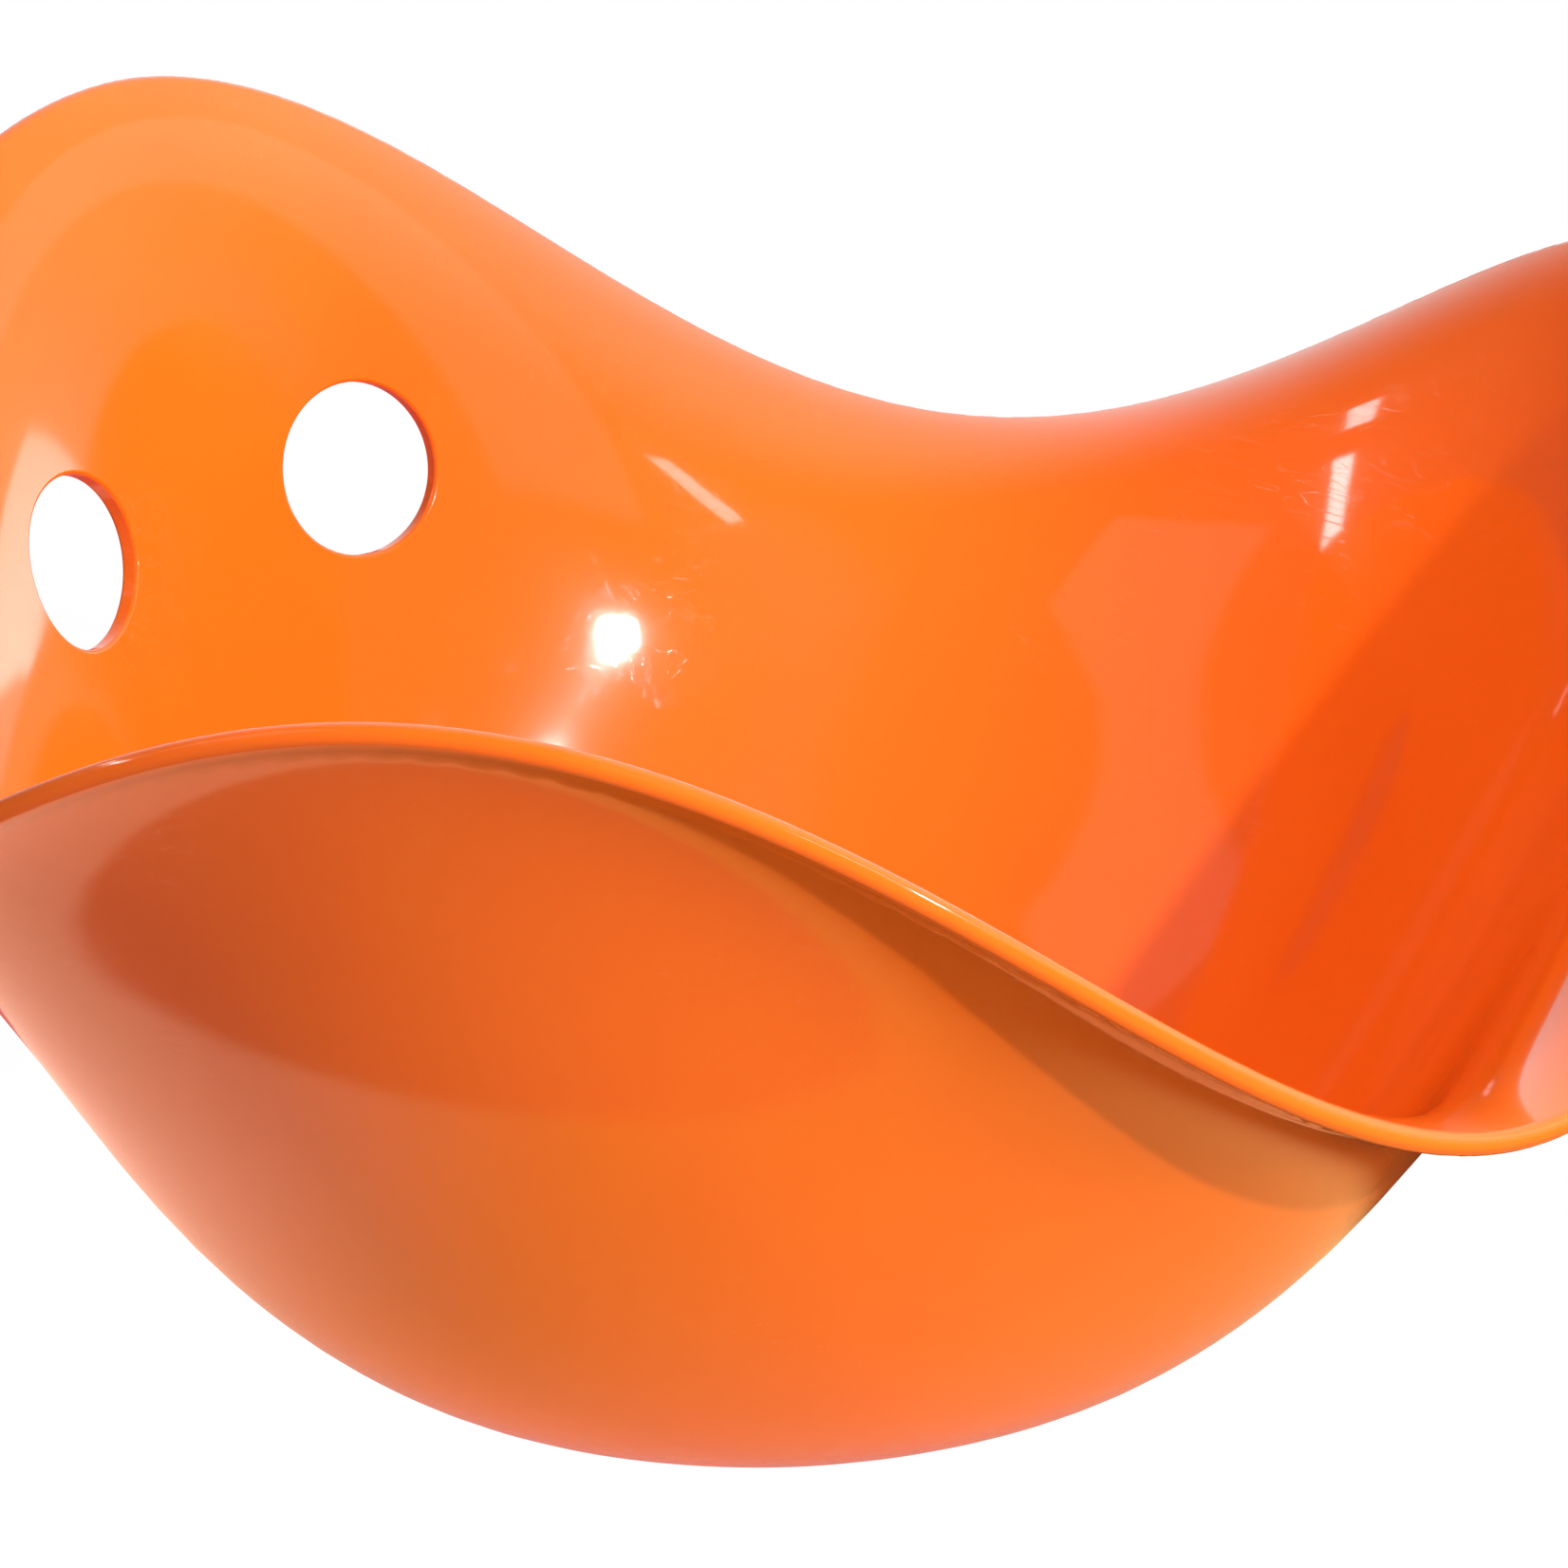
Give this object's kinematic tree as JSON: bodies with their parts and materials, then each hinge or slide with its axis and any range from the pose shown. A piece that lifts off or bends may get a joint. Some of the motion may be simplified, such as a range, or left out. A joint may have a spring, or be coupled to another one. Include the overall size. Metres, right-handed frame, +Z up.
{
  "type": "rocking shell seat",
  "caption": "One-piece moulded shell seat for a child that rocks and spins on its round belly, with a wavy flared rim and two round finger holes in the back rest.",
  "frame": {"origin": "centre of the underside of the small flat pad that the round belly stands on", "axes": "+Z up, +Y towards the tallest crest with the two finger holes (the back rest), +X to the seated child's left"},
  "size_m": [0.4044, 0.3823, 0.2201],
  "materials": {
    "shell_plastic": "glossy injection-moulded orange polyethylene"
  },
  "bodies": {
    "root": {"shell": "shell_plastic"}
  },
  "joints": []
}
